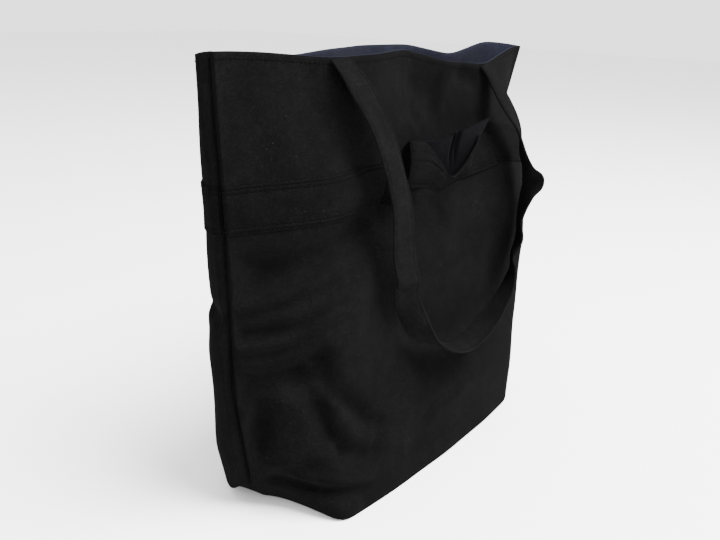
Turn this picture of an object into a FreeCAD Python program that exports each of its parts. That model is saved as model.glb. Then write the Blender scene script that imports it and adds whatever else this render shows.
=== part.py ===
"""Large lined canvas tote bag, standing open on its boxed bottom.

X runs along the bag's width, the front faces -Y and Z is up. The origin is on the floor, under the middle
of the bag. The cloth body is a six-sided sleeve: nearly closed at the rim, where it is widest, and opened
out over the boxed bottom, whose two end points stand clear of the floor. Every wall, lining and band lies
between two of these six-sided blocks, one inside the other, and the lines of thread follow the same
outlines, so all of them keep to the same few sizes of the bag.
"""
import FreeCAD, Part
import math
import os
import Sketcher

Vector = FreeCAD.Vector

# Driving sizes in millimetres.
SIZES = {
    # cloth body
    "rim_height": 400.0,          # floor to rim
    "rim_reach": 244.0,           # middle to side seam at the rim
    "fold_beyond": 5.0,           # middle of a strap to where the mouth starts to narrow
    "rim_gap": 20.0,              # middle to the front face at the rim
    "base_reach": 205.0,          # middle to the end point of the boxed bottom
    "base_fold": 155.0,           # middle to a bottom corner, along the width
    "base_gap": 73.0,             # middle to the front face at the floor
    "tip_lift": 31.0,             # how far the end points stand above the floor
    "canvas": 1.2,
    "lining": 0.4,
    "lining_drop": 1.0,           # the lining ends this far below the rim
    # band and trolley sleeve
    "band_low": 263.0,            # lower edge of the band above the floor
    "band_width": 40.0,
    "band_cloth": 1.0,
    "sleeve_half": 95.0,          # middle to the seam that ends the loose stretch
    "sleeve_bow": 20.0,           # how far the loose stretch stands off the panel
    "sleeve_foot": 8.0,           # length sewn down at each end of the sleeve
    "facing_margin": 2.0,         # from the sleeve's feet to the facing behind it
    # handles
    "strap_width": 25.0,
    "strap_thick": 3.0,
    "strap_spacing": 240.0,       # between the middles of the two ends
    "strap_drop": 275.0,          # rim to the bottom of the loop
    "strap_stand": 30.0,          # how far the hanging loop stands off the panel
    "strap_clear": 0.8,           # strap to panel and strap end to rim
    # sewing
    "thread": 0.3,                # how far thread stands proud
    "thread_width": 0.8,
    "thread_clear": 0.05,         # thread to the cloth under it
    "rim_row": 5.0,               # rim to the row of stitches under it
    "band_row": 2.0,              # edge of the band to its first row
    "row_pair": 4.0,              # between the two rows of a pair
    "strap_row": 2.5,             # edge of the strap to its row
    "seam_half": 1.5,             # half the width of a side seam's ridge
}
ROOM = 50.0                       # how far helper boxes reach past the bag

document = FreeCAD.newDocument("CanvasTote")
sheet = document.addObject("Spreadsheet::Sheet", "Sizes")
for row, (alias, value) in enumerate(SIZES.items(), start=1):
    sheet.set(f"A{row}", alias)
    sheet.set(f"B{row}", str(value))
    sheet.setAlias(f"B{row}", alias)
document.recompute()


def size(name):
    """The sheet's value under its alias, as an expression."""
    return f"Sizes.{name}"


def total(*terms):
    return "(" + " + ".join(terms) + ")"


# ---- sketches ------------------------------------------------------------------------------------------

def new_sketch(body, plane):
    """An empty sketch on one of the body's own origin planes."""
    sketch = body.newObject("Sketcher::SketchObject", f"{body.Name}_sketch")
    origin_plane = [item for item in body.Origin.OriginFeatures if item.Role == plane][0]
    sketch.AttachmentSupport = [(origin_plane, "")]
    sketch.MapMode = "FlatFace"
    return sketch


def pin_point(sketch, edge, end, across, along):
    """Hold one end of an edge at (across, along), both written as expressions."""
    drawn = sketch.getPoint(edge, end)
    for kind, expression, place in (("DistanceX", across, drawn.x), ("DistanceY", along, drawn.y)):
        index = sketch.addConstraint(Sketcher.Constraint(kind, -1, 1, edge, end, place))
        name = f"{kind}_{edge}_{end}"
        sketch.renameConstraint(index, name)
        sketch.setExpression(f"Constraints.{name}", expression)


def add_outline(sketch, corners):
    """A closed outline of straight sides through corners given as expressions."""
    count = len(corners)
    first = sketch.GeometryCount
    for step in range(count):
        start, end = (Vector(math.cos(turn), math.sin(turn), 0) * ROOM
                      for turn in (2 * math.pi * step / count, 2 * math.pi * (step + 1) / count))
        sketch.addGeometry(Part.LineSegment(start, end))
    for step, (across, along) in enumerate(corners):
        following = first + (step + 1) % count
        sketch.addConstraint(Sketcher.Constraint("Coincident", first + step, 2, following, 1))
        pin_point(sketch, first + step, 1, across, along)


def add_pad(body, sketch, length, backwards=False):
    pad = body.newObject("PartDesign::Pad", f"{body.Name}_pad")
    pad.Profile = sketch
    pad.setExpression("Length", length)
    pad.Reversed = backwards
    return pad


# ---- the six-sided blocks ------------------------------------------------------------------------------

def six_sides(reach, fold, gap, inset):
    """Corners of the bag's cross-section with every side moved in by inset."""
    side = f"sqrt(({reach} - {fold})^2 + {gap}^2)"
    tip = f"({reach} - {inset} * {side} / {gap})"
    crease = f"({fold} - {inset} * ({side} - {reach} + {fold}) / {gap})"
    face = f"({gap} - {inset})"
    return [(f"-{tip}", "0"), (f"-{crease}", f"-{face}"), (crease, f"-{face}"),
            (tip, "0"), (crease, face), (f"-{crease}", face)]


# The straps hold the mouth open between them, so it narrows from just outside each strap.
RIM_FOLD = f"({size('strap_spacing')} / 2 + {size('fold_beyond')})"


def bag_block(name, inset):
    """A solid block of the bag's outside, moved in by inset on the walls and the bottom."""
    body = document.addObject("PartDesign::Body", name)
    foot = new_sketch(body, "XY_Plane")
    add_outline(foot, six_sides(size("base_reach"), size("base_fold"), size("base_gap"), inset))
    mouth = new_sketch(body, "XY_Plane")
    add_outline(mouth, six_sides(size("rim_reach"), RIM_FOLD, size("rim_gap"), inset))
    mouth.setExpression("AttachmentOffset.Base.z", size("rim_height"))
    document.recompute()
    loft = body.newObject("PartDesign::AdditiveLoft", f"{name}_loft")
    loft.Profile = foot
    loft.Sections = [mouth]
    loft.Ruled = True
    document.recompute()
    # What lies under the bottom is cut away: level in the middle, rising to the two end points.
    run = total(size("base_reach"), f"-{size('base_fold')}")
    rise = size("tip_lift")
    slope = f"({rise} / {run})"
    corner = f"({size('base_fold')} - {inset} * (sqrt({run}^2 + {rise}^2) - {run}) / {rise})"
    far = total(size("rim_reach"), str(ROOM))
    high = f"({inset} + ({far} - {corner}) * {slope})"
    under = new_sketch(body, "XZ_Plane")
    add_outline(under, [(f"-{far}", f"-{ROOM}"), (far, f"-{ROOM}"), (far, high),
                        (corner, inset), (f"-{corner}", inset), (f"-{far}", high)])
    document.recompute()
    cut = body.newObject("PartDesign::Pocket", f"{name}_under")
    cut.Profile = under
    cut.Type = "ThroughAll"
    cut.Midplane = True
    document.recompute()
    assert cut.Shape.Volume < loft.Shape.Volume, f"{name}: nothing was cut from under the bottom"
    return body


def region(name, low, high):
    """A helper box between two corners, each three expressions."""
    box = document.addObject("Part::Box", name)
    for axis, side, start, end in zip("xyz", ("Length", "Width", "Height"), low, high):
        box.setExpression(f"Placement.Base.{axis}", start)
        box.setExpression(side, f"({end}) - ({start})")
    return box


def boolean(kind, name, base, tool):
    result = document.addObject(f"Part::{kind}", name)
    result.Base = base
    result.Tool = tool
    return result


def group(name, members):
    """Several separate solids as one sub-part."""
    result = document.addObject("Part::Compound", name)
    result.Links = members
    return result


pieces = []


def keep(piece, label):
    """Give a finished sub-part the label that names its file."""
    piece.Label = label
    pieces.append(piece)
    return piece


canvas_out = bag_block("CanvasOut", "0")
canvas_in = bag_block("CanvasIn", size("canvas"))
lining_in = bag_block("LiningIn", total(size("canvas"), size("lining")))
thread_out = bag_block("ThreadOut", f"-{size('thread')}")
facing_out = bag_block("FacingOut", f"-{size('lining')}")
band_out = bag_block("BandOut", f"-{size('band_cloth')}")

canvas_wall = boolean("Cut", "CanvasWall", canvas_out, canvas_in)
lining_wall = boolean("Cut", "LiningWall", canvas_in, lining_in)
thread_skin = boolean("Cut", "ThreadSkin", thread_out, canvas_out)
facing_skin = boolean("Cut", "FacingSkin", facing_out, canvas_out)
band_skin = boolean("Cut", "BandSkin", band_out, canvas_out)

FAR_X = total(size("rim_reach"), str(ROOM))
FAR_Y = total(size("base_gap"), str(ROOM))
BELOW = f"-{ROOM}"
ABOVE = total(size("rim_height"), str(ROOM))
ACROSS = {"front": (f"-{FAR_Y}", "0"), "back": ("0", FAR_Y)}


def half(name, face, low, high, left=f"-{FAR_X}", right=FAR_X):
    """The front or back half of the space between two heights."""
    near, far = ACROSS[face]
    return region(name, (left, near, low), (right, far, high))


# ---- panels and lining: one of each for the front and the back, meeting in the side seams ----------------

for face in ("front", "back"):
    title = face.capitalize()
    keep(boolean("Common", f"{title}Panel", canvas_wall, half(f"{title}Half", face, BELOW, ABOVE)),
         f"{face}_panel")
    lining_top = total(size("rim_height"), f"-{size('lining_drop')}")
    keep(boolean("Common", f"{title}Lining", lining_wall,
                 half(f"{title}LiningHalf", face, BELOW, lining_top)), f"{face}_lining")

# ---- band: an overlaid strip round the bag, left open in the middle of the front -------------------------

band_high = total(size("band_low"), size("band_width"))
keep(boolean("Common", "BackBand", band_skin, half("BackBandSpace", "back", size("band_low"), band_high)),
     "back_band")
for hand, left, right in (("left", f"-{FAR_X}", f"-{size('sleeve_half')}"),
                          ("right", size("sleeve_half"), FAR_X)):
    title = f"FrontBand{hand.capitalize()}"
    space = half(f"{title}Space", "front", size("band_low"), band_high, left, right)
    keep(boolean("Common", title, band_skin, space), f"front_band_{hand}")

facing_half = total(size("sleeve_half"), f"-{size('sleeve_foot')}", f"-{size('facing_margin')}")
facing_space = half("FacingSpace", "front", size("band_low"), band_high, f"-{facing_half}", facing_half)
keep(boolean("Common", "SleeveFacing", facing_skin, facing_space), "sleeve_facing")

# ---- trolley sleeve: the loose, bowed middle of the band, sewn down at its two ends ----------------------

PANEL_LEAN = f"atan(({size('base_gap')} - {size('rim_gap')}) / {size('rim_height')})"


def bowed_block(name, half_width, bow, low, high):
    """A block on the front panel under an arc that is half_width long each way and bow deep."""
    body = document.addObject("PartDesign::Body", name)
    sketch = new_sketch(body, "XY_Plane")
    guess_half, guess_bow = SIZES["sleeve_half"], SIZES["sleeve_bow"]
    centre = (guess_half ** 2 - guess_bow ** 2) / (2 * guess_bow)
    turn = math.atan2(centre, guess_half)
    circle = Part.Circle(Vector(0, centre, 0), Vector(0, 0, 1), math.hypot(guess_half, centre))
    sketch.addGeometry(Part.LineSegment(Vector(guess_half, 0, 0), Vector(-guess_half, 0, 0)))
    sketch.addGeometry(Part.ArcOfCircle(circle, math.pi + turn, 2 * math.pi - turn))
    sketch.addConstraint(Sketcher.Constraint("Coincident", 0, 2, 1, 1))
    sketch.addConstraint(Sketcher.Constraint("Coincident", 1, 2, 0, 1))
    pin_point(sketch, 0, 1, half_width, "0")
    pin_point(sketch, 0, 2, f"-{half_width}", "0")
    index = sketch.addConstraint(Sketcher.Constraint("DistanceY", -1, 1, 1, 3, centre))
    sketch.renameConstraint(index, "centre")
    sketch.setExpression("Constraints.centre", f"({half_width}^2 - {bow}^2) / (2 * {bow})")
    sketch.setExpression("AttachmentOffset.Base.z", low)
    document.recompute()
    add_pad(body, sketch, f"({high}) - ({low})")
    body.Placement.Rotation = FreeCAD.Rotation(Vector(-1, 0, 0), 1)
    body.setExpression("Placement.Rotation.Angle", PANEL_LEAN)
    body.setExpression("Placement.Base.z", size("band_low"))
    fall = f"({size('base_gap')} - {size('rim_gap')}) * {size('band_low')} / {size('rim_height')}"
    body.setExpression("Placement.Base.y", f"{fall} - {size('base_gap')}")
    return body


sleeve_outer_bow = total(size("sleeve_bow"), size("band_cloth"))
sleeve_out = bowed_block("SleeveOut", size("sleeve_half"), sleeve_outer_bow, "0", size("band_width"))
sleeve_in = bowed_block("SleeveIn", total(size("sleeve_half"), f"-{size('sleeve_foot')}"),
                        size("sleeve_bow"), f"-{ROOM}", total(size("band_width"), str(ROOM)))
keep(boolean("Cut", "TrolleySleeve", sleeve_out, sleeve_in), "trolley_sleeve")

# ---- thread: continuous lines where the rows of stitches run ---------------------------------------------


def at_height(base, rim, height):
    """A size that runs evenly from its value at the floor to its value at the rim."""
    return f"({base} + ({rim} - {base}) * ({height}) / {size('rim_height')})"


def thread_line(name, face, lift, middle, stretch="whole"):
    """A line of thread round the front or back, lift off the canvas, middle above the floor.

    The stretch is the whole half, or only its left or right end, as far as the loose sleeve.
    """
    low = f"({middle} - {size('thread_width')} / 2)"
    tip, crease, far_crease, far_tip = range(4)
    taken = {"whole": [tip, crease, far_crease, far_tip], "left": [tip, crease],
             "right": [far_crease, far_tip]}[stretch]
    sides = []
    near = total(lift, size("thread_clear"))
    for proud in (near, total(near, size("thread"))):
        floor = six_sides(size("base_reach"), size("base_fold"), size("base_gap"), f"-{proud}")
        rim = six_sides(size("rim_reach"), RIM_FOLD, size("rim_gap"), f"-{proud}")
        corners = [(at_height(floor[n][0], rim[n][0], low), at_height(floor[n][1], rim[n][1], low))
                   for n in range(4)]
        side = [corners[index] for index in taken]
        near_sleeve = corners[crease][1]
        if stretch == "left":
            side.append((f"-{size('sleeve_half')}", near_sleeve))
        if stretch == "right":
            side.insert(0, (size("sleeve_half"), near_sleeve))
        sides.append(side)
    outline = sides[1] + sides[0][::-1]
    if face == "back":
        outline = [(across, f"-({along})") for across, along in outline]
    body = document.addObject("PartDesign::Body", name)
    sketch = new_sketch(body, "XY_Plane")
    add_outline(sketch, outline)
    sketch.setExpression("AttachmentOffset.Base.z", low)
    document.recompute()
    add_pad(body, sketch, size("thread_width"))
    return body


row_heights = [total(size("band_low"), size("band_row")),
               total(size("band_low"), size("band_row"), size("row_pair")),
               total(band_high, f"-{size('band_row')}", f"-{size('row_pair')}"),
               total(band_high, f"-{size('band_row')}")]

for face, stretches in (("front", ("left", "right")), ("back", ("whole",))):
    title = face.capitalize()
    rim_height = total(size("rim_height"), f"-{size('rim_row')}")
    keep(thread_line(f"{title}RimStitching", face, "0", rim_height), f"{face}_rim_stitching")
    rows = [thread_line(f"{title}BandRow{number}{stretch}", face, size("band_cloth"), middle, stretch)
            for stretch in stretches for number, middle in enumerate(row_heights)]
    keep(group(f"{title}BandStitching", rows), f"{face}_band_stitching")

sleeve_rows = []
for number, edge in enumerate((size("band_row"), f"{size('band_width')} - {size('band_row')}")):
    low, high = (f"{edge} {sign} {size('thread_width')} / 2" for sign in "-+")
    thread_bow = total(sleeve_outer_bow, size("thread"))
    row_out = bowed_block(f"SleeveRowOut{number}", size("sleeve_half"), thread_bow, low, high)
    sleeve_rows.append(boolean("Cut", f"SleeveRow{number}", row_out, sleeve_out))
keep(group("SleeveStitching", sleeve_rows), "sleeve_stitching")

# ---- side seams: a narrow ridge from the end points of the bottom to the rim, under the band -------------

band_slab = region("BandSlab", (f"-{FAR_X}", f"-{FAR_Y}", size("band_low")), (FAR_X, FAR_Y, band_high))
for hand, inner, outer in (("left", f"-{FAR_X}", "0"), ("right", "0", FAR_X)):
    title = f"{hand.capitalize()}SideSeam"
    seam_top = total(size("rim_height"), f"-{size('rim_row')}", f"-{size('thread_width')}")
    ridge = region(f"{title}Space", (inner, f"-{size('seam_half')}", size("tip_lift")),
                   (outer, size("seam_half"), seam_top))
    whole = boolean("Common", f"{title}Whole", thread_skin, ridge)
    keep(boolean("Cut", title, whole, band_slab), f"{hand}_side_seam")

# ---- handles: flat straps hanging outside the front and the back -----------------------------------------

strap_half = f"({size('strap_spacing')} / 2)"
strap_edge = f"({size('strap_width')} / 2)"
loop_centre = f"({size('strap_drop')} - {strap_half} - {strap_edge})"
HANDLE_LEAN = f"{PANEL_LEAN} + atan({size('strap_stand')} / {size('strap_drop')})"


def hanging_strip(name, face, inner, outer, start, thick):
    """A flat U hanging from the rim, between the half widths inner and outer, start off its back."""
    body = document.addObject("PartDesign::Body", name)
    sketch = new_sketch(body, "XZ_Plane")
    guess_leg = 100.0
    for number, (radius, reach) in enumerate(((40.0, outer), (20.0, inner))):
        first = 3 * number
        centre = Vector(0, -guess_leg, 0)
        sketch.addGeometry(Part.LineSegment(Vector(-radius, 0, 0), Vector(-radius, -guess_leg, 0)))
        circle = Part.Circle(centre, Vector(0, 0, 1), radius)
        sketch.addGeometry(Part.ArcOfCircle(circle, math.pi, 2 * math.pi))
        sketch.addGeometry(Part.LineSegment(Vector(radius, -guess_leg, 0), Vector(radius, 0, 0)))
        sketch.addConstraint(Sketcher.Constraint("Coincident", first, 2, first + 1, 1))
        sketch.addConstraint(Sketcher.Constraint("Coincident", first + 1, 2, first + 2, 1))
        pin_point(sketch, first, 1, f"-{reach}", "0")
        pin_point(sketch, first, 2, f"-{reach}", f"-{loop_centre}")
        pin_point(sketch, first + 2, 1, reach, f"-{loop_centre}")
        pin_point(sketch, first + 2, 2, reach, "0")
        index = sketch.addConstraint(Sketcher.Constraint("DistanceY", -1, 1, first + 1, 3, -guess_leg))
        sketch.renameConstraint(index, f"centre{number}")
        sketch.setExpression(f"Constraints.centre{number}", f"-{loop_centre}")
    for side in (0, 2):
        end = 1 if side == 0 else 2
        closing = sketch.addGeometry(Part.LineSegment(Vector(0, 0, 0), Vector(1, 0, 0)))
        sketch.addConstraint(Sketcher.Constraint("Coincident", closing, 1, side, end))
        sketch.addConstraint(Sketcher.Constraint("Coincident", closing, 2, 3 + side, end))
    # The XZ plane's own normal is -Y, which is outwards on the front and inwards on the back.
    outwards = 1 if face == "front" else -1
    offset = start if face == "front" else f"-({start})"
    sketch.setExpression("AttachmentOffset.Base.z", offset)
    document.recompute()
    add_pad(body, sketch, thick, backwards=face == "back")
    body.Placement.Rotation = FreeCAD.Rotation(Vector(-outwards, 0, 0), 1)
    body.setExpression("Placement.Rotation.Angle", HANDLE_LEAN)
    reach_out = total(size("rim_gap"), size("strap_clear"))
    body.setExpression("Placement.Base.y", f"-{reach_out}" if face == "front" else reach_out)
    body.setExpression("Placement.Base.z", total(size("rim_height"), size("strap_clear")))
    return body


for face in ("front", "back"):
    title = face.capitalize()
    strap = hanging_strip(f"{title}Handle", face, f"({strap_half} - {strap_edge})",
                          f"({strap_half} + {strap_edge})", "0", size("strap_thick"))
    keep(strap, f"{face}_handle")
    near_row = f"({strap_half} - {strap_edge} + {size('strap_row')})"
    far_row = f"({strap_half} + {strap_edge} - {size('strap_row')})"
    lines = [hanging_strip(f"{title}HandleRow{number}", face, inner, outer,
                           size("strap_thick"), size("thread"))
             for number, (inner, outer) in enumerate((
                 (near_row, f"({near_row} + {size('thread_width')})"),
                 (f"({far_row} - {size('thread_width')})", far_row)))]
    keep(group(f"{title}HandleStitching", lines), f"{face}_handle_stitching")

# ---- check and write -------------------------------------------------------------------------------------

document.recompute()
for item in document.Objects:
    assert not {"Invalid", "Error"} & set(item.State), f"{item.Name} did not build: {item.State}"
for piece in pieces:
    shape = piece.Shape
    assert not shape.isNull() and shape.isValid() and shape.Solids, f"{piece.Label} is not a sound solid"

os.makedirs("parts", exist_ok=True)
for piece in pieces:
    piece.Shape.exportStep(f"parts/{piece.Label}.step")
    box = piece.Shape.optimalBoundingBox()
    print(f"{piece.Label:24s} solids {len(piece.Shape.Solids)}  volume {piece.Shape.Volume:9.0f}  "
          f"x {box.XMin:7.1f} {box.XMax:7.1f}  y {box.YMin:7.1f} {box.YMax:7.1f}  "
          f"z {box.ZMin:7.1f} {box.ZMax:7.1f}")
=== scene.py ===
"""A large black canvas tote bag, standing open and a little slack on its boxed bottom."""
import math

import bpy
import numpy as np
from mathutils import Matrix, Vector


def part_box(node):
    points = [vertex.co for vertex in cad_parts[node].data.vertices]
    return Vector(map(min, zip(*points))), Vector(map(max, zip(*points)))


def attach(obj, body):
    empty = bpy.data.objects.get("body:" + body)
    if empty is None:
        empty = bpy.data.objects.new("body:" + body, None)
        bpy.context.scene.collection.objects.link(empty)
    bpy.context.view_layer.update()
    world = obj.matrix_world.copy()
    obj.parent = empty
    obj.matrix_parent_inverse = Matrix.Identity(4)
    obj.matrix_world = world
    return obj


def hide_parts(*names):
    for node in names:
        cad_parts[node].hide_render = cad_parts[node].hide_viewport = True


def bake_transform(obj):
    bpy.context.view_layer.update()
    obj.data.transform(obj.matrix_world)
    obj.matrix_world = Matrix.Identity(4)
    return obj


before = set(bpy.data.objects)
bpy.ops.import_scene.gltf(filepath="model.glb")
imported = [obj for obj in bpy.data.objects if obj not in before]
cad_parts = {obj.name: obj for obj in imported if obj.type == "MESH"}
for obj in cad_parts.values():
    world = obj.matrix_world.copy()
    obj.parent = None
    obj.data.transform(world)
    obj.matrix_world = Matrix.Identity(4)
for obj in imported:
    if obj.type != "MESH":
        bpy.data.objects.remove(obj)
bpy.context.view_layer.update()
MM = 0.001

# ---- canvas body ---------------------------------------------------------------------------------
# Front and back are one weight of black cotton canvas, sewn together down the two sides. Each runs
# from the rim to the floor and on to the middle of the boxed bottom. The cloth is unstiffened, so it
# bulges low down, closes at the left of the mouth and carries folds fanning out from the left seam.
CANVAS_THICK = 1.2 * MM
RIM_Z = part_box("front_panel")[1].z / MM
TIP_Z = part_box("left_side_seam")[0].z / MM
TIP_X = -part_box("left_side_seam")[1].x / MM
CORNER_X = 155

# Plan of each wall at a few heights: how far along (x) and how far out, at these shares of the width.
SHARES = (0, .04, .10, .22, .36, .50, .64, .78, .90, .96, 1)
HEIGHTS = (400, 342, 300, 250, 200, 150, 100, 50, 0)
FRONT_PLAN = (
    ((-245, 0), (-227, 3), (-196, 8), (-137, 28), (-72, 27), (-10, 13), (50, 26), (108, 33), (180, 17),
     (222, 6), (249, 0)),
    ((-241, 0), (-224, 5), (-196, 11), (-137, 31), (-72, 33), (-8, 23), (56, 30), (118, 39), (177, 26),
     (207, 9), (224, 0)),
    ((-237, 0), (-221, 7), (-196, 14), (-138, 36), (-72, 38), (0, 36), (68, 44), (137, 58), (188, 45),
     (206, 16), (208, 0)),
    ((-233, 0), (-218, 8), (-196, 17), (-142, 42), (-74, 44), (0, 45), (74, 54), (155, 69), (198, 48),
     (207, 18), (205, 0)),
    ((-230, 0), (-215, 9), (-194, 20), (-146, 48), (-76, 51), (0, 53), (78, 61), (158, 73), (195, 46),
     (206, 17), (206, 0)),
    ((-228, 0), (-213, 10), (-192, 23), (-150, 54), (-77, 57), (0, 59), (79, 66), (157, 73), (189, 42),
     (204, 16), (205, 0)),
    ((-226, 0), (-211, 11), (-190, 26), (-153, 60), (-78, 62), (0, 65), (79, 70), (155, 74), (184, 37),
     (203, 14), (205, 0)),
    ((-217, 0), (-206, 12), (-187, 31), (-156, 68), (-78, 71), (0, 74), (79, 75), (155, 75), (182, 36),
     (202, 12), (205, 0)),
    ((-207, 0), (-198, 12), (-183, 36), (-165, 79), (-80, 85), (0, 85), (79, 82), (154, 76), (180, 36),
     (199, 12), (206, 0)),
)
BACK_PLAN = (
    ((-245, 0), (-246, 13), (-224, 19), (-150, 2), (-80, 18), (-10, 40), (65, 37), (125, 20), (195, 22),
     (230, 15), (249, 0)),
    ((-241, 0), (-240, 16), (-220, 29), (-150, 24), (-80, 30), (-10, 37), (60, 38), (125, 34), (185, 26),
     (213, 12), (224, 0)),
    ((-237, 0), (-235, 18), (-216, 37), (-150, 40), (-76, 38), (0, 40), (70, 42), (132, 40), (185, 30),
     (204, 14), (208, 0)),
    ((-233, 0), (-232, 18), (-213, 40), (-152, 46), (-77, 45), (0, 47), (74, 48), (142, 46), (186, 34),
     (203, 15), (205, 0)),
    ((-230, 0), (-226, 18), (-208, 41), (-153, 52), (-77, 52), (0, 53), (76, 54), (146, 52), (186, 36),
     (203, 15), (206, 0)),
    ((-228, 0), (-230, 19), (-209, 43), (-154, 58), (-78, 58), (0, 60), (77, 60), (150, 58), (186, 36),
     (202, 15), (205, 0)),
    ((-226, 0), (-225, 19), (-207, 43), (-156, 64), (-78, 64), (0, 66), (78, 66), (153, 62), (185, 36),
     (201, 14), (205, 0)),
    ((-217, 0), (-220, 19), (-203, 43), (-157, 70), (-78, 71), (0, 72), (78, 72), (155, 70), (184, 37),
     (200, 12), (205, 0)),
    ((-207, 0), (-207, 17), (-192, 41), (-160, 76), (-78, 78), (0, 78), (79, 78), (158, 76), (184, 37),
     (199, 12), (206, 0)),
)
FRONT_RIM = (403, 403, 402, 397.5, 398.5, 400.5, 388, 384.5, 394, 398, 398)
BACK_RIM = (403, 400, 398, 398, 400.5, 401, 401, 390, 403, 401, 398)

# How far the edge of the bottom stands off the floor, at the same shares.
FRONT_FOOT = (33, 34, 32, -2, -2, -2, -2, -2, 16, 27, 31)
BACK_FOOT = (33, 13, 4, -1, -1, -1, -1, -1, 16, 27, 31)

# Folds: half width and height of the fold, then the line it runs along, as x and height.
FRONT_FOLDS = (
    (17, -17, (-226, 221), (-183, 226), (-148, 235), (-101, 250), (-20, 268)),
    (11, 7, (-226, 205), (-184, 212), (-150, 223), (-98, 243)),
    (4.5, -3.5, (-226, 193), (-208, 194), (-184, 200), (-165, 204), (-135, 213), (-112, 220)),
    (8, -5.5, (-226, 177), (-199, 177), (-176, 176), (-146, 187), (-116, 197)),
    (4.5, 6, (-226, 165), (-208, 167), (-177, 170), (-148, 184), (-106, 190)),
    (5, -3, (-226, 159), (-198, 157), (-174, 163), (-148, 178)),
    (8, 3.5, (-222, 154), (-196, 146), (-172, 154), (-142, 174)),
    (14, -8, (-226, 130), (-180, 138), (-150, 160)),
    (11, 6, (-205, 104), (-178, 112), (-164, 126)),
    (10, -13, (-176, 132), (-165, 96), (-158, 72), (-146, 57), (-106, 42)),
    (9, -9, (-162, 147), (-156, 121), (-127, 92), (-110, 72), (-76, 60)),
    (6, 5, (-214, 48), (-179, 60), (-146, 68)),
    (6, -8, (-192, 34), (-118, 15)),
    (4, 5, (-180, 42), (-120, 27)),
    (9, -15, (-202, 104), (-209, 40)),
    (8, 2.5, (-156, 10), (-124, 30), (-108, 47)),
    (4, -4.5, (-100, 58), (-112, 42), (-132, 44)),
    (4, 2, (-214, 186), (-170, 190), (-120, 208)),
    (22, -6, (-84, 250), (-76, 190), (-50, 147), (-12, 105)),
    (20, 3, (-24, 206), (12, 216), (50, 250)),
    (14, -2.5, (-5, 184), (34, 196), (78, 226)),
    (12, -3, (104, 225), (103, 200), (92, 152), (42, 122)),
    (9, -3, (2, 258), (20, 238)),
    (14, 2.5, (-190, 360), (-172, 300)),
    (20, -5, (-160, 392), (-137, 345), (-117, 325), (-90, 300)),
    (3.5, 1.4, (-16, 398), (-13, 350), (-8, 312)),
    (24, -9, (4, 356), (40, 350)),
    (8, 2.5, (-2, 358), (16, 326)),
    (13, -5, (-90, 312), (-82, 262)),
    (9, -5, (70, 374), (98, 366)),
    (7, -2, (-60, 30), (60, 28), (120, 24)),
    (6, 1.5, (-20, 46), (100, 60)),
)
BACK_FOLDS = (
    (12, -5, (-190, 215), (-120, 232), (-40, 236)),
    (8, -7, (-240, 193), (-205, 188)),
    (9, 4, (-205, 182), (-150, 196), (-70, 214)),
    (8, -4, (-196, 150), (-140, 168)),
    (9, -5, (150, 120), (90, 84), (40, 60)),
    (8, 4, (170, 96), (110, 62), (70, 34)),
    (11, -4, (125, 366), (112, 318)),
    (10, 3, (60, 372), (40, 320)),
    (12, -4, (-60, 360), (-44, 315)),
    (8, -4, (-150, 84), (-118, 40)),
    (7, 4, (-160, 20), (-124, 44)),
    (9, 3, (10, 180), (60, 150), (130, 150)),
)


def soften(grid, across, along):
    """Evens out a grid of points, keeping its four edges' end points."""
    for _ in range(across):
        grid[:, 1:-1] = .25 * grid[:, :-2] + .5 * grid[:, 1:-1] + .25 * grid[:, 2:]
    for _ in range(along):
        grid[1:-1] = .25 * grid[:-2] + .5 * grid[1:-1] + .25 * grid[2:]
    return grid


def outward(grid, side):
    """The direction out of the cloth at every point of a wall; side is -1 at the front, 1 at the back."""
    normal = np.cross(np.gradient(grid, axis=1), np.gradient(grid, axis=0))
    normal *= side / np.maximum(np.linalg.norm(normal, axis=2, keepdims=True), 1e-9)
    return normal


def crease(grid, width, line):
    """How strongly a fold shows at each point of a wall: full along its line, dying out to its far end."""
    x, z = grid[..., 0], grid[..., 2]
    nearest, reached = np.full(x.shape, 1e9), np.zeros(x.shape)
    for step, ((x1, z1), (x2, z2)) in enumerate(zip(line[:-1], line[1:])):
        dx, dz = x2 - x1, z2 - z1
        along = np.clip(((x - x1) * dx + (z - z1) * dz) / (dx * dx + dz * dz), 0, 1)
        off = np.hypot(x - x1 - along * dx, z - z1 - along * dz)
        reached = np.where(off < nearest, (step + along) / (len(line) - 1), reached)
        nearest = np.minimum(nearest, off)
    return np.exp(-(nearest / width) ** 2) * (1 - .9 * np.clip((reached - .65) / .35, 0, 1) ** 2)


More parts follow.
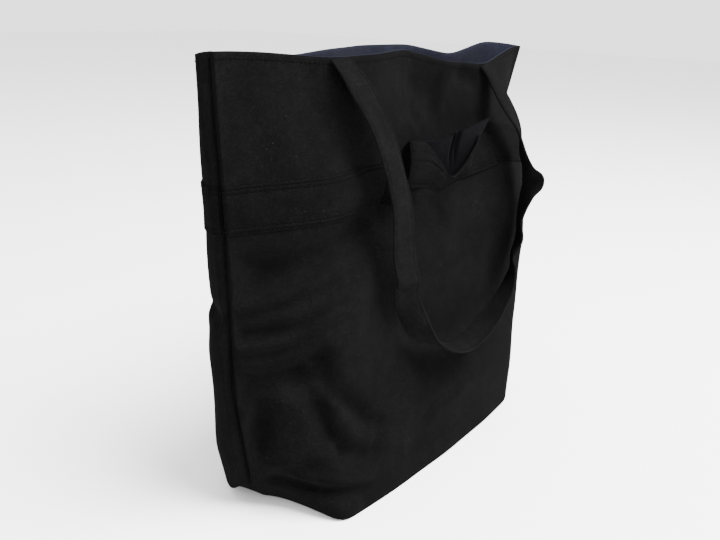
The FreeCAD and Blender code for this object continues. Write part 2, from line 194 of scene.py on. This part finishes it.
class Wall:
    """One wall of the bag, as a grid of points in millimetres from the rim down and under."""

    def __init__(self, plan, rim, foot, folds, side):
        self.side = side
        edge = np.linspace(0, .024, 11)[:-1]
        self.share = np.concatenate([edge, np.linspace(.024, .976, 168), 1 - edge[::-1]])
        level = np.linspace(1, 0, 145)
        plan = np.array(plan, float)
        heights = np.array(HEIGHTS[::-1], float) / RIM_Z
        x = np.array([np.interp(self.share, SHARES, row[:, 0]) for row in plan])
        out = np.array([np.interp(self.share, SHARES, row[:, 1]) for row in plan])
        x = np.array([np.interp(level, heights, column[::-1]) for column in x.T]).T
        out = np.array([np.interp(level, heights, column[::-1]) for column in out.T]).T
        top = np.interp(self.share, SHARES, rim)
        foot = np.interp(self.share, SHARES, foot)
        z = foot + (top - foot) * level[:, None]
        wall = np.stack([x, side * out, z], axis=2)
        inward = np.linspace(0, 1, 29)[1:, None]
        belly = TIP_Z * np.clip((np.abs(x[-1]) - CORNER_X) / (TIP_X - CORNER_X), 0, 1) ** 3
        under = np.stack([np.broadcast_to(x[-1], (28, len(foot))),
                          side * out[-1] * (1 - inward),
                          foot + (belly - foot) * inward ** .6], axis=2)
        self.rows = len(level)
        grid = soften(np.concatenate([wall, under]), 20, 4)
        normal = outward(grid, side)
        fade = np.ones(len(grid))
        fade[self.rows - 3:] = np.clip(1 - np.arange(len(grid) - self.rows + 3) / 5, 0, 1)
        run = np.cumsum(np.linalg.norm(np.diff(grid, axis=1, prepend=grid[:, :1]), axis=2), axis=1)
        gap = np.minimum(run, run[:, -1:] - run)
        held = 1 - np.exp(-(gap / 9) ** 2)
        push = np.zeros(grid.shape[:2])
        for width, height, *line in folds:
            push += height * crease(grid, width, line)
        across, up = grid[..., 0], grid[..., 2]
        slack = (np.sin(across / 31 + up / 23) + np.sin(across / 17 - up / 29 + 2)
                 + np.sin(up / 13 + across / 47 + 1))
        push = (push + .35 * slack) * fade[:, None] * held
        push += .9 * np.exp(-((gap - 8) / 3.5) ** 2) * fade[:, None]
        grid = grid + normal * push[..., None]
        grid[..., 1] = side * np.maximum(side * grid[..., 1], np.minimum(gap, 4) * fade[:, None])
        grid[..., 0] -= np.sign(grid[..., 0]) * 4.2 * np.exp(-(gap / 3.6) ** 2)
        self.grid = soften(grid, 1, 1)
        self.grid[..., 2] = np.maximum(self.grid[..., 2], 0)
        self.normal = outward(self.grid, side)

    def at(self, share, height, lift=0.0):
        """The point on the wall at a share of its width and a height, lifted off the cloth."""
        column = np.interp(share, self.share, np.arange(len(self.share)))
        first = min(int(column), len(self.share) - 2)
        part = column - first
        points = (1 - part) * self.grid[:self.rows, first] + part * self.grid[:self.rows, first + 1]
        normals = (1 - part) * self.normal[:self.rows, first] + part * self.normal[:self.rows, first + 1]
        up = points[::-1, 2]
        point = np.array([np.interp(height, up, points[::-1, axis]) for axis in range(3)])
        normal = np.array([np.interp(height, up, normals[::-1, axis]) for axis in range(3)])
        return point + lift * normal / np.linalg.norm(normal)

    def share_of(self, x, height):
        """The share of the width where the wall crosses x at a height."""
        row = int(np.argmin(np.abs(self.grid[:self.rows, len(self.share) // 2, 2] - height)))
        return float(np.interp(x, self.grid[row, :, 0], self.share))

    def rim_at(self, share):
        return float(np.interp(share, self.share, self.grid[0, :, 2]))


front = Wall(FRONT_PLAN, FRONT_RIM, FRONT_FOOT, FRONT_FOLDS, -1)
back = Wall(BACK_PLAN, BACK_RIM, BACK_FOOT, BACK_FOLDS, 1)


def sewn_piece(name, grid, finish, turned=False, cloth=None):
    """A mesh from a grid of points in millimetres, with the cloth's own lie as its UV map, in metres."""
    rows, columns = grid.shape[:2]
    index = np.arange(rows * columns).reshape(rows, columns)
    faces = np.stack([index[:-1, :-1], index[1:, :-1], index[1:, 1:], index[:-1, 1:]], axis=2).reshape(-1, 4)
    if turned:
        faces = faces[:, ::-1]
    mesh = bpy.data.meshes.new(name)
    mesh.from_pydata((grid.reshape(-1, 3) * MM).tolist(), [], faces.tolist())
    if cloth is None:
        steps = np.linalg.norm(np.diff(grid, axis=1, prepend=grid[:, :1]), axis=2)
        drops = np.linalg.norm(np.diff(grid, axis=0, prepend=grid[:1]), axis=2)
        cloth = np.stack([np.cumsum(steps, axis=1)[rows // 3] + 0 * steps,
                          np.cumsum(drops, axis=0)[:, columns // 2:columns // 2 + 1] + 0 * drops], axis=2)
    lie = mesh.uv_layers.new(name="cloth")
    corner = np.zeros(len(mesh.loops), int)
    mesh.loops.foreach_get("vertex_index", corner)
    lie.data.foreach_set("uv", (cloth.reshape(-1, 2)[corner] * MM).ravel())
    mesh.polygons.foreach_set("use_smooth", [True] * len(mesh.polygons))
    mesh.materials.append(finish)
    piece = bpy.data.objects.new(name, mesh)
    bpy.context.scene.collection.objects.link(piece)
    return piece


def give_thickness(piece, thick):
    """Turns a single layer into cloth of this thickness, laid inside the layer."""
    layer = piece.modifiers.new("thickness", "SOLIDIFY")
    layer.thickness = thick
    layer.offset = -1


class Level:
    """A number that varies over a finish, so that a pattern in the cloth can be written as a sum."""

    def __init__(self, recipe, socket):
        self.recipe, self.socket = recipe, socket

    def sum(self, operation, first, second):
        return self.recipe.add("Math", {"operation": operation}, {0: first, 1: second})

    def __add__(self, other):
        return self.sum("ADD", self, other)

    def __radd__(self, other):
        return self.sum("ADD", other, self)

    def __sub__(self, other):
        return self.sum("SUBTRACT", self, other)

    def __mul__(self, other):
        return self.sum("MULTIPLY", self, other)

    def __rmul__(self, other):
        return self.sum("MULTIPLY", other, self)

    def __gt__(self, other):
        return self.sum("GREATER_THAN", self, other)


class Finish:
    """A finish being mixed: its material and the nodes that make it."""

    def __init__(self, name):
        self.material = bpy.data.materials.new(name)
        self.material.use_nodes = True
        self.tree = self.material.node_tree
        self.tree.nodes.clear()

    def add(self, kind, settings=None, sockets=None, output=0):
        """One node of a type, with its settings, then values or links for its sockets."""
        node = self.tree.nodes.new("ShaderNode" + kind)
        for name, value in (settings or {}).items():
            if name == "stops":
                ramp = node.color_ramp.elements
                while len(ramp) < len(value):
                    ramp.new(.5)
                for stop, (place, shade) in zip(ramp, value):
                    stop.position, stop.color = place, (shade, shade, shade, 1)
            else:
                setattr(node, name, value)
        for name, value in (sockets or {}).items():
            if isinstance(value, Level):
                self.tree.links.new(value.socket, node.inputs[name])
            else:
                node.inputs[name].default_value = value
        return Level(self, node.outputs[output])

    def blend(self, share, first, second):
        """A colour between two others."""
        return self.add("Mix", {"data_type": "RGBA"}, {0: share, 6: first, 7: second}, 2)

    def close(self, shader):
        """The finished material, showing this shader."""
        surface = self.tree.nodes.new("ShaderNodeOutputMaterial").inputs["Surface"]
        self.tree.links.new(shader.socket, surface)
        return self.material


def woven(name, dark, light, thread, rough, sheen, weave=.35, lint=.5, nap=.25):
    """Plain woven cloth: crossed threads, a soft nap, slightly faded patches and specks of lint."""
    mix = Finish(name)
    lie = mix.add("UVMap", {"uv_map": "cloth"})
    place = mix.add("TexCoord", output=3)
    turns = math.tau / 20 / thread
    warp = mix.add("TexWave", {"bands_direction": "X"},
                   {"Vector": lie, "Scale": turns, "Distortion": .6, "Detail": 1.0})
    weft = mix.add("TexWave", {"bands_direction": "Y"},
                   {"Vector": lie, "Scale": turns, "Distortion": .6, "Detail": 1.0})
    crossed = warp * weft
    hair = mix.add("TexNoise", {}, {"Vector": place, "Scale": 900.0, "Detail": 2.0, "Roughness": .7})
    slub = mix.add("TexNoise", {}, {"Vector": place, "Scale": 160.0, "Detail": 3.0, "Roughness": .6})
    patch = mix.add("TexNoise", {}, {"Vector": place, "Scale": 13.0, "Detail": 4.0, "Roughness": .6})
    fade = mix.add("TexNoise", {}, {"Vector": place, "Scale": 52.0, "Detail": 3.0, "Roughness": .6})
    fleck = mix.add("TexVoronoi", {"feature": "F1"}, {"Vector": place, "Scale": 150.0, "Randomness": 1.0})
    seen = mix.add("ValToRGB", {"stops": ((0.0, 1.0), (.085, 0.0))}, {0: fleck})
    some = mix.add("TexNoise", {}, {"Vector": place, "Scale": 24.0, "Detail": 2.0}) > .55
    worn = crossed * .3 + slub * .35 + patch * .6 + fade * .5 + hair * 2.4 - 1.85
    cloth = mix.blend(worn, dark, light)
    cloth = mix.blend(seen * some * lint, cloth, (.045, .045, .048, 1))
    height = crossed * weave + hair * nap + slub * .3
    grain = mix.add("Bump", {}, {"Strength": .8, "Distance": .0006, "Height": height})
    shader = mix.add("BsdfPrincipled", {}, {
        "Base Color": cloth, "Roughness": rough + slub * .12, "Sheen Weight": sheen, "Sheen Roughness": .45,
        "Specular IOR Level": .03, "IOR": 1.1, "Normal": grain})
    return mix.close(shader)


canvas_finish = woven("black_canvas", (.0018, .0018, .0019, 1), (.0050, .0049, .0051, 1), .0007, .84, .004)

for wall, face in ((front, "front"), (back, "back")):
    panel = sewn_piece(f"canvas_{face}", wall.grid, canvas_finish, turned=wall.side > 0)
    give_thickness(panel, CANVAS_THICK)
    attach(panel, "bag")
    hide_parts(f"{face}_panel")

# ---- lining --------------------------------------------------------------------------------------
# A thin navy lining hangs inside, cut like the canvas. At the mouth it is rolled over the rim and
# caught in the seam there, so a narrow smooth edge of it shows all round.
lining_finish = woven("navy_lining", (.0052, .0054, .0088, 1), (.0135, .0140, .0215, 1), .0005, .7, .012,
                      weave=.15, lint=.15, nap=.1)

# The roll at the rim, as steps away from the canvas's outer face and above its edge.
RIM_ROLL = ((-.9, -.8), (-.9, -.5), (-.95, -.25), (-1.1, -.1), (-1.4, -.1), (-1.8, -.5), (-2.3, -2.5))

for wall, face in ((front, "front"), (back, "back")):
    edge, out = wall.grid[0], wall.normal[0].copy()
    out[:, 2] = 0
    out /= np.linalg.norm(out, axis=1, keepdims=True)
    roll = np.array([edge + out * away + np.array([0, 0, lift]) for away, lift in RIM_ROLL])
    inside = wall.grid[3:] - wall.normal[3:] * 2.3
    inside -= wall.normal[3:] * (.5 * (1 + np.sin(inside[..., :1] / 19 + inside[..., 2:] / 31)))
    inside[..., 1] = wall.side * np.maximum(wall.side * inside[..., 1], .5)
    seam_room = np.abs(wall.grid[3:, (0, -1), 0]) - 2.4
    inside[..., 0] = np.clip(inside[..., 0], -seam_room[:, :1], seam_room[:, 1:])
    hanging = np.concatenate([roll, inside])
    lining = sewn_piece(f"lining_{face}", hanging, lining_finish, turned=wall.side > 0)
    give_thickness(lining, .4 * MM)
    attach(lining, "bag")
    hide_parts(f"{face}_lining")

# ---- band ----------------------------------------------------------------------------------------
# A forty millimetre strip of the same canvas laid round the bag above half height, with its edges
# turned under. On the front it stops at the two feet of the loose trolley sleeve.
band_low_corner, band_high_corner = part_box("back_band")
BAND_LOW, BAND_HIGH = band_low_corner.z / MM, band_high_corner.z / MM
BAND_MIDDLE = 283
SLEEVE_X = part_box("trolley_sleeve")[1].x / MM
band_finish = woven("band_canvas", (.0016, .0016, .0017, 1), (.0045, .0044, .0046, 1), .0007, .86, .004,
                    weave=.45, lint=.4)


def band_rise(wall, share):
    """How far the cloth, and the band on it, rides up in the slack middle of the front."""
    x = wall.at(share, BAND_MIDDLE)[0]
    if wall is back:
        return 3 * math.exp(-(x / 120) ** 2)
    return 11 * math.exp(-((x - 30) / 100) ** 2) + 17 * math.exp(-((x - 140) / 60) ** 2)


# The band's section: how far up it, and how far off the canvas, sunk where its rows of stitches pull it in.
BAND_SECTION = ((0, .15), (.35, .9), (1.3, 1.45), (2.4, .55), (3.5, 1.45), (4.9, 1.45), (6, .6), (7.2, 1.4),
                (14, 1.3), (20, 1.3), (26, 1.3), (32.8, 1.4), (34, .6), (35.1, 1.45), (36.5, 1.45),
                (37.6, .55), (38.7, 1.45), (39.65, .9), (40, .15))


def band_length(name, wall, start, end, node):
    """One length of the band, sewn to a wall from one share of its width to another."""
    columns = max(12, int(abs(end - start) * 170))
    grid = []
    for across in np.linspace(start, end, columns):
        low = BAND_LOW + band_rise(wall, across)
        section = [(low + up * (BAND_HIGH - BAND_LOW) / 40, lift + .05) for up, lift in BAND_SECTION]
        grid.append([wall.at(across, height, lift) for height, lift in section])
    grid = np.array(grid).transpose(1, 0, 2)[::-1]
    piece = sewn_piece(name, grid, band_finish, turned=wall.side > 0)
    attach(piece, "bag")
    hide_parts(node)
    return piece


left_foot = front.share_of(-SLEEVE_X + 27, BAND_MIDDLE)
right_foot = front.share_of(SLEEVE_X + 23, BAND_MIDDLE)
band_length("band_left", front, .004, left_foot, "front_band_left")
band_length("band_right", front, right_foot, .996, "front_band_right")
band_length("band_back", back, .004, .996, "back_band")

# ---- side seams ----------------------------------------------------------------------------------
# The two walls are sewn face to face and turned, so each side has a sunken line where they meet,
# with the edge of the joined cloth showing as a narrow welt at its bottom.


def cord_mesh(line, radius, sides=6):
    """A grid for a thin round welt along a line of points in millimetres."""
    line = np.array(line, float)
    tangent = np.gradient(line, axis=0)
    tangent /= np.linalg.norm(tangent, axis=1, keepdims=True)
    aside = np.cross(tangent, (0, 1, 0))
    aside /= np.linalg.norm(aside, axis=1, keepdims=True)
    third = np.cross(tangent, aside)
    turn = np.linspace(0, 2 * math.pi, sides + 1)
    return line[:, None] + radius * (np.cos(turn)[None, :, None] * aside[:, None]
                                     + np.sin(turn)[None, :, None] * third[:, None])


# The welt is the seam's real edge, but its finish is darker than the canvas: painted shade standing for the
# shadow down the sunken seam line.
seam_welt_shade_finish = woven("seam_welt_painted_shade", (.0010, .0010, .0011, 1), (.0032, .0032, .0034, 1), .0007, .9, 0, lint=.1)
for column, side_name in ((0, "left"), (-1, "right")):
    line = front.grid[2:front.rows, column].copy()
    line[:, 1] = 0
    line[:, 0] += np.sign(line[:, 0]) * .2
    swell = np.interp(line[:, 2], (60, 200, 400), (1.25, 1.1, .55))[:, None, None]
    welt = sewn_piece(f"seam_{side_name}", cord_mesh(line, swell), seam_welt_shade_finish)
    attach(welt, "bag")
    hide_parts(f"{side_name}_side_seam")

# ---- trolley sleeve and its facing -----------------------------------------------------------------
# The middle of the front band is sewn down only at its two ends, to slip over a case's handle. Its top
# edge has flopped forward in a V, so the smooth bluish facing that stands behind it shows.


def through(points, count):
    """A smooth line of count points through a few set ones."""
    points = np.array(points, float)
    ends = np.vstack([2 * points[0] - points[1], points, 2 * points[-1] - points[-2]])
    line = []
    for place in np.linspace(0, len(points) - 1, count):
        first = min(int(place), len(points) - 2)
        t = place - first
        a, b, c, d = ends[first:first + 4]
        line.append(.5 * (2 * b + (c - a) * t + (2 * a - 5 * b + 4 * c - d) * t * t
                          + (3 * b - a - 3 * c + d) * t ** 3))
    return np.array(line)


def on_band(x, up, lift=1.0):
    """The point at x, this far up the band's width, as it would lie if the band were sewn down here."""
    share = front.share_of(x, BAND_MIDDLE)
    return tuple(front.at(share, BAND_LOW + up + band_rise(front, share), lift))


left_x, right_x = -SLEEVE_X + 27, SLEEVE_X + 23
SLEEVE_TOP = (on_band(left_x, 40), (-61, -44, 312), (-53, -46, 319), (-56, -53, 325), (-61, -57, 327),
              (-54, -60, 326), (-36, -60, 322), (-17, -64, 304), (-2, -66, 289), (16, -63, 286),
              (38, -60, 294), (58, -56, 305), (78, -51, 314), on_band(93, 39, 3), on_band(102, 40, 1.6),
              on_band(right_x, 40, 1.3))
SLEEVE_MIDDLE = (on_band(left_x, 20), (-61, -45, 291), (-53, -49, 297), (-56, -56, 304), (-60, -59, 305),
                 (-54, -62, 305), (-34, -64, 302), (-14, -66, 291), (2, -61, 280), (20, -57, 281),
                 (40, -55, 287), (58, -54, 293), on_band(78, 20, 3), on_band(93, 20, 2),
                 on_band(102, 20, 1.5), on_band(right_x, 20, 1.3))
SLEEVE_FOOT = (on_band(left_x, 0), (-61, -45, 267), (-54, -46, 274), (-57, -52, 282), (-60, -55, 285),
               (-53, -57, 284), (-31, -58, 280), (-14, -56, 274), (2, -52, 270), (22, -50, 272),
               on_band(42, 0, 3), on_band(58, 0, 2), on_band(78, 0, 1.6), on_band(93, 0, 1.4),
               on_band(102, 0, 1.3), on_band(right_x, 0, 1.3))
top, middle, low = (through(line, 150) for line in (SLEEVE_TOP, SLEEVE_MIDDLE, SLEEVE_FOOT))
drop = np.linspace(0, 1, 45)[:, None, None]
loose = (1 - drop) * (1 - 2 * drop) * top + 4 * drop * (1 - drop) * middle + drop * (2 * drop - 1) * low
away = outward(loose, -1)
edge_roll = np.exp(-((drop - .085) / .03) ** 2) + np.exp(-((drop - .915) / .03) ** 2)
hem = np.exp(-((drop - .42) / .03) ** 2) * np.exp(-((np.linspace(0, 1, 150)[:, None] - .4) / .09) ** 4)
loose = loose - away * (.35 * edge_roll + 1.1 * hem)
sleeve = sewn_piece("trolley_sleeve_cloth", loose, band_finish)
give_thickness(sleeve, 1.6 * MM)
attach(sleeve, "bag")
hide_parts("trolley_sleeve")

# Darker than the canvas: the facing's own bluish tint, plus painted shade for the recess behind the sleeve.
facing_shade_finish = woven("facing_cloth_painted_shade", (.0011, .0011, .0014, 1), (.0025, .0025, .0031, 1), .0005, .7, .008,
                      weave=.12, lint=.2, nap=.1)
FACING_TOP = ((-46, -50, 325), (-24, -49, 322), (4, -49, 319), (26, -49, 322), (50, -50, 326),
              (76, -50, 330), (100, -49.5, 334))
top = through(FACING_TOP, 100)
low_x = top[:, 0] - np.maximum(0, top[:, 0] - 40) * .7
low = np.array([front.at(front.share_of(x, BAND_MIDDLE), BAND_LOW + 12, 1.6) for x in low_x])
drop = np.linspace(0, 1, 24)[:, None, None]
behind = top + (low - top) * drop
behind[..., 1] += 3 * np.sin(drop[..., 0] * math.pi)
pleat = np.exp(-((behind[..., 0] - 33) / 2.6) ** 2) + .8 * np.exp(-((behind[..., 0] - 40) / 2.2) ** 2)
behind[..., 1] += 5 * pleat * np.clip(1.25 - 1.6 * drop[..., 0], 0, 1)
facing = sewn_piece("sleeve_facing_cloth", behind, facing_shade_finish)
give_thickness(facing, .5 * MM)
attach(facing, "bag")
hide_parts("sleeve_facing")

# ---- handles -------------------------------------------------------------------------------------
# Each shoulder strap is one strip of canvas folded to 25 mm and sewn along both edges, with its ends
# caught under the rim. Both hang outside the bag, and the front one has turned over on itself.

# Half of the strap's upper face: how far across, and how far off its middle plane, sunk at the stitches.
STRAP_SECTION = ((0, 1.4), (4, 1.45), (8, 1.55), (9.4, 1.3), (10, 1.0), (10.6, 1.3), (11.4, 1.35), (12.3, .8),
                 (12.5, 0))
strap_finish = woven("strap_canvas", (.0023, .0023, .0024, 1), (.0066, .0065, .0067, 1), .0007, .82, .004,
                     weave=.5, lint=.4)
left_root = front.share_of(-123.5, 385)
right_root = front.share_of(113, 375)
FRONT_STRAP = (
    (tuple(front.at(left_root, 396.2, -.2)), (1, 0, .1)),
    ((-121.5, -38, 383), (1, 0, 0)),
    ((-104, -44, 360), (1, -.05, 0)),
    ((-88, -55, 322), (1, -.1, 0)),
    ((-82, -66, 279), (1, -.1, 0)),
    ((-74, -67, 225), (.95, -.25, 0)),
    ((-71, -71, 203), (.93, -.3, 0)),
    ((-69, -68, 192), (.85, -.5, 0)),
    ((-65, -70, 175), (.8, -.6, 0)),
    ((-46, -75, 143), (.5, -.85, -.1)),
    ((-16, -81, 124), (.2, -.95, -.2)),
    ((20, -84, 117), (0, -1, -.15)),
    ((61, -85, 126), (-.2, -.95, 0)),
    ((95, -86, 153), (-.55, -.8, 0)),
    ((110, -84, 172), (-.75, -.65, 0)),
    ((116, -80, 187), (-.85, -.5, 0)),
    ((124, -82, 205), (-.75, -.65, 0)),
    ((128, -80, 226), (-.8, -.6, 0)),
    ((134, -82, 250), (-.5, -.85, .1)),
    ((139, -85, 266), (.1, -1, .2)),
    ((134, -80, 281), (-.6, -.8, .1)),
    ((130, -75, 295), (-.75, -.65, .1)),
    ((125, -68, 322), (-.95, -.3, .1)),
    ((111, -57, 351), (-1, 0, .1)),
    ((113, -42, 371), (-1, 0, .05)),
    (tuple(front.at(right_root, 384.5, -.2)), (-1, 0, 0)),
)
BACK_STRAP = (
    (tuple(back.at(back.share_of(-118, 385), 394.5, 1.9)), (1, 0, 0)),
    (tuple(back.at(back.share_of(-118, 385), 384, 3.6)), (1, 0, 0)),
    ((-116, 46, 345), (1, .05, 0)),
    ((-109, 58, 298), (1, .1, 0)),
    ((-101, 67, 247), (.9, .4, 0)),
    ((-84, 73, 193), (.6, .8, 0)),
    ((-46, 78, 150), (.3, .95, 0)),
    ((0, 81, 133), (0, 1, -.15)),
    ((46, 79, 148), (-.3, .95, 0)),
    ((85, 74, 192), (-.6, .8, 0)),
    ((103, 66, 246), (-.9, .4, 0)),
    ((112, 57, 297), (-1, .1, 0)),
    ((119, 47, 344), (-1, .05, 0)),
    (tuple(back.at(back.share_of(121, 385), 378, 3.6)), (-1, 0, 0)),
    (tuple(back.at(back.share_of(121, 385), 387, 1.9)), (-1, 0, 0)),
)


class Strap:
    """The line a strap follows, with its width and outward directions, all as arrays."""

    def __init__(self, stops):
        rough_line = through([stop[0] for stop in stops], 1200)
        wide = through([stop[1] for stop in stops], 1200)
        run = np.concatenate([[0], np.cumsum(np.linalg.norm(np.diff(rough_line, axis=0), axis=1))])
        self.run = np.linspace(0, run[-1], int(run[-1] / 2.5))
        self.line = np.array([np.interp(self.run, run, rough_line[:, axis]) for axis in range(3)]).T
        wide = np.array([np.interp(self.run, run, wide[:, axis]) for axis in range(3)]).T
        ahead = np.gradient(self.line, axis=0)
        ahead /= np.linalg.norm(ahead, axis=1, keepdims=True)
        wide -= (wide * ahead).sum(1, keepdims=True) * ahead
        self.wide = wide / np.linalg.norm(wide, axis=1, keepdims=True)
        self.out = np.cross(ahead, self.wide)

    def lifted(self, across, lift):
        """The line of points this far across the strap and this far off its middle plane."""
        bow = .7 * np.sin(self.run / 23) + .5 * np.sin(self.run / 11 + 1)
        cup = bow * (np.abs(across) / 12.5) ** 2
        return self.line + self.wide * across + self.out * (lift + cup[:, None])


def strap_piece(strap, name, node, body, start, end):
    """A strap's mesh, left where it lies; body, start and end are not used."""
    upper = [(-across, lift) for across, lift in STRAP_SECTION[::-1]] + list(STRAP_SECTION[1:])
    ring = tuple(upper) + tuple((across, -lift) for across, lift in upper[-2:0:-1])
    grid = np.array([strap.lifted(across, lift) for across, lift in ring + ring[:1]]).transpose(1, 0, 2)
    around = np.cumsum([0] + [math.dist(a, b) for a, b in zip(ring, ring[1:] + ring[:1])])
    cloth = np.stack(np.broadcast_arrays(around[None, :], strap.run[:, None]), axis=2)
    piece = sewn_piece(name, grid, strap_finish, turned=True, cloth=cloth)
    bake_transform(piece)
    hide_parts(node)
    return piece


front_strap, back_strap = Strap(FRONT_STRAP), Strap(BACK_STRAP)
FRONT_BEND = ((0, -.036, .384), (0, -.045, .366))
BACK_BEND = ((0, .030, .387), (0, .038, .370))
strap_piece(front_strap, "strap_front", "front_handle", "front_handle", *FRONT_BEND)
strap_piece(back_strap, "strap_back", "back_handle", "back_handle", *BACK_BEND)

# ---- thread --------------------------------------------------------------------------------------
# Black polyester thread, about four stitches to fifteen millimetres: one row under the rim, pairs of
# rows along both edges of the band and sleeve, and one row along each edge of a strap, on both faces.
thread = Finish("black_thread")
twist = thread.add("TexWave", {"bands_direction": "DIAGONAL"},
                   {"Vector": thread.add("TexCoord", output=3), "Scale": 900.0})
thread_finish = thread.close(thread.add("BsdfPrincipled", {}, {
    "Base Color": thread.blend(twist, (.0006, .0006, .0007, 1), (.0016, .0016, .0017, 1)),
    "Roughness": .6 + twist * .1, "Specular IOR Level": .02,
    "Normal": thread.add("Bump", {}, {"Strength": .3, "Distance": .0002, "Height": twist})}))


def stitches(name, rows, long=3.1, space=.8, thick=.3, bury=.3):
    """Rows of single stitches. A row is its line of points and the direction out of the cloth at each."""
    points, faces = [], []
    for line, out in rows:
        run = np.concatenate([[0], np.cumsum(np.linalg.norm(np.diff(line, axis=0), axis=1))])
        begin = space
        while begin + long < run[-1]:
            stops = begin + np.array([0, .18, .5, .82, 1]) * long
            centre = np.array([np.interp(stops, run, line[:, axis]) for axis in range(3)]).T
            up = np.array([np.interp(stops, run, out[:, axis]) for axis in range(3)]).T
            ahead = centre[-1] - centre[0]
            aside = np.cross(ahead / np.linalg.norm(ahead), up)
            first = len(points)
            centre = centre + up * (np.array([-bury, .12, .2, .12, -bury])[:, None])
            points.append(centre[0])
            for stop in (1, 2, 3):
                for turn in range(5):
                    angle = turn * math.tau / 5
                    off = math.cos(angle) * aside[stop] + math.sin(angle) * up[stop]
                    points.append(centre[stop] + thick * off)
            points.append(centre[-1])
            for turn in range(5):
                other = (turn + 1) % 5
                faces.append((first, first + 1 + turn, first + 1 + other))
                for ring in (1, 6):
                    faces.append((first + ring + turn, first + ring + 5 + turn, first + ring + 5 + other,
                                  first + ring + other))
                faces.append((first + 11 + turn, first + 16, first + 11 + other))
            begin += long + space
    mesh = bpy.data.meshes.new(name)
    mesh.from_pydata((np.array(points) * MM).tolist(), [], faces)
    mesh.polygons.foreach_set("use_smooth", [True] * len(mesh.polygons))
    mesh.materials.append(thread_finish)
    piece = bpy.data.objects.new(name, mesh)
    bpy.context.scene.collection.objects.link(piece)
    return piece


def wall_row(wall, start, end, height, lift):
    """A row along a wall at height(share), lift off the canvas."""
    shares = np.linspace(start, end, max(12, int(abs(end - start) * 330)))
    low = np.array([wall.at(share, height(share), lift) for share in shares])
    high = np.array([wall.at(share, height(share), lift + 1) for share in shares])
    return low, high - low


for wall, face, lengths in ((front, "front", ((.006, left_foot), (right_foot, .994))),
                            (back, "back", ((.006, .994),))):
    rim_row = wall_row(wall, .006, .994, lambda share: wall.rim_at(share) - 5, .15)
    piece = stitches(f"rim_stitches_{face}", [rim_row])
    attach(piece, "bag")
    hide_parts(f"{face}_rim_stitching")
    rows = [wall_row(wall, start, end, lambda share: BAND_LOW + band_rise(wall, share) + up, .75)
            for start, end in lengths for up in (2.4, 6, 34, 37.6)]
    piece = stitches(f"band_stitches_{face}", rows)
    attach(piece, "bag")
    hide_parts(f"{face}_band_stitching")

rows = [(loose[row] + away[row] * .1, away[row]) for row in (4, 8, 36, 40)]
piece = stitches("sleeve_stitches", rows)
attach(piece, "bag")
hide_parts("sleeve_stitching")

for strap, body, bend in ((front_strap, "front_handle", FRONT_BEND), (back_strap, "back_handle", BACK_BEND)):
    rows = [(strap.lifted(across, lift), strap.out * np.sign(lift))
            for across in (-10, 10) for lift in (1.05, -1.05)]
    piece = stitches(f"{body}_stitches", rows)
    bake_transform(piece)
    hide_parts(f"{body}_stitching")

# ---- floor, light and camera ---------------------------------------------------------------------
# A plain pale floor running up into a white surround, a large soft light high before the front,
# a weaker one on its left, and the camera a little above the rim, left of the front.
floor_mix = Finish("studio_floor")
floor_finish = floor_mix.close(floor_mix.add("BsdfPrincipled", {}, {"Base Color": (.92, .92, .92, 1),
                                                                     "Roughness": .9}))
floor_mesh = bpy.data.meshes.new("studio_floor")
floor_mesh.from_pydata([(-8, -8, 0), (8, -8, 0), (8, 8, 0), (-8, 8, 0)], [], [(0, 1, 2, 3)])
floor_mesh.materials.append(floor_finish)
floor = bpy.data.objects.new("studio_floor", floor_mesh)
bpy.context.scene.collection.objects.link(floor)

surround = bpy.data.worlds.new("studio")
surround.use_nodes = True
surround.node_tree.nodes["Background"].inputs["Color"].default_value = (1, 1, 1, 1)
surround.node_tree.nodes["Background"].inputs["Strength"].default_value = 2.3
bpy.context.scene.world = surround


def soft_light(name, place, aim, size, power):
    lamp = bpy.data.lights.new(name, "AREA")
    lamp.shape, lamp.size, lamp.energy = "DISK", size, power
    holder = bpy.data.objects.new(name, lamp)
    holder.location = place
    holder.rotation_euler = (Vector(aim) - Vector(place)).to_track_quat("-Z", "Y").to_euler()
    bpy.context.scene.collection.objects.link(holder)


soft_light("high_front_light", (.3, -1.2, 2.3), (0, 0, .2), 1.9, 400)
soft_light("left_fill_light", (-1.8, -1.2, 1.4), (0, 0, .2), 1.2, 14)

heading, tilt, roll = math.radians(53.4), math.radians(18.2), math.radians(2.14)
ahead = Vector((math.sin(heading) * math.cos(tilt), math.cos(heading) * math.cos(tilt), -math.sin(tilt)))
level = Vector((math.cos(heading), -math.sin(heading), 0))
upright = level.cross(ahead)
right = level * math.cos(roll) + upright * math.sin(roll)
above = upright * math.cos(roll) - level * math.sin(roll)
camera_data = bpy.data.cameras.new("camera")
camera_data.sensor_width, camera_data.lens = 36, 40.8
camera = bpy.data.objects.new("camera", camera_data)
turned = Matrix((right, above, -ahead)).transposed().to_4x4()
camera.matrix_world = Matrix.Translation((-.6564, -.4508, .4408)) @ turned
bpy.context.scene.collection.objects.link(camera)
bpy.context.scene.camera = camera
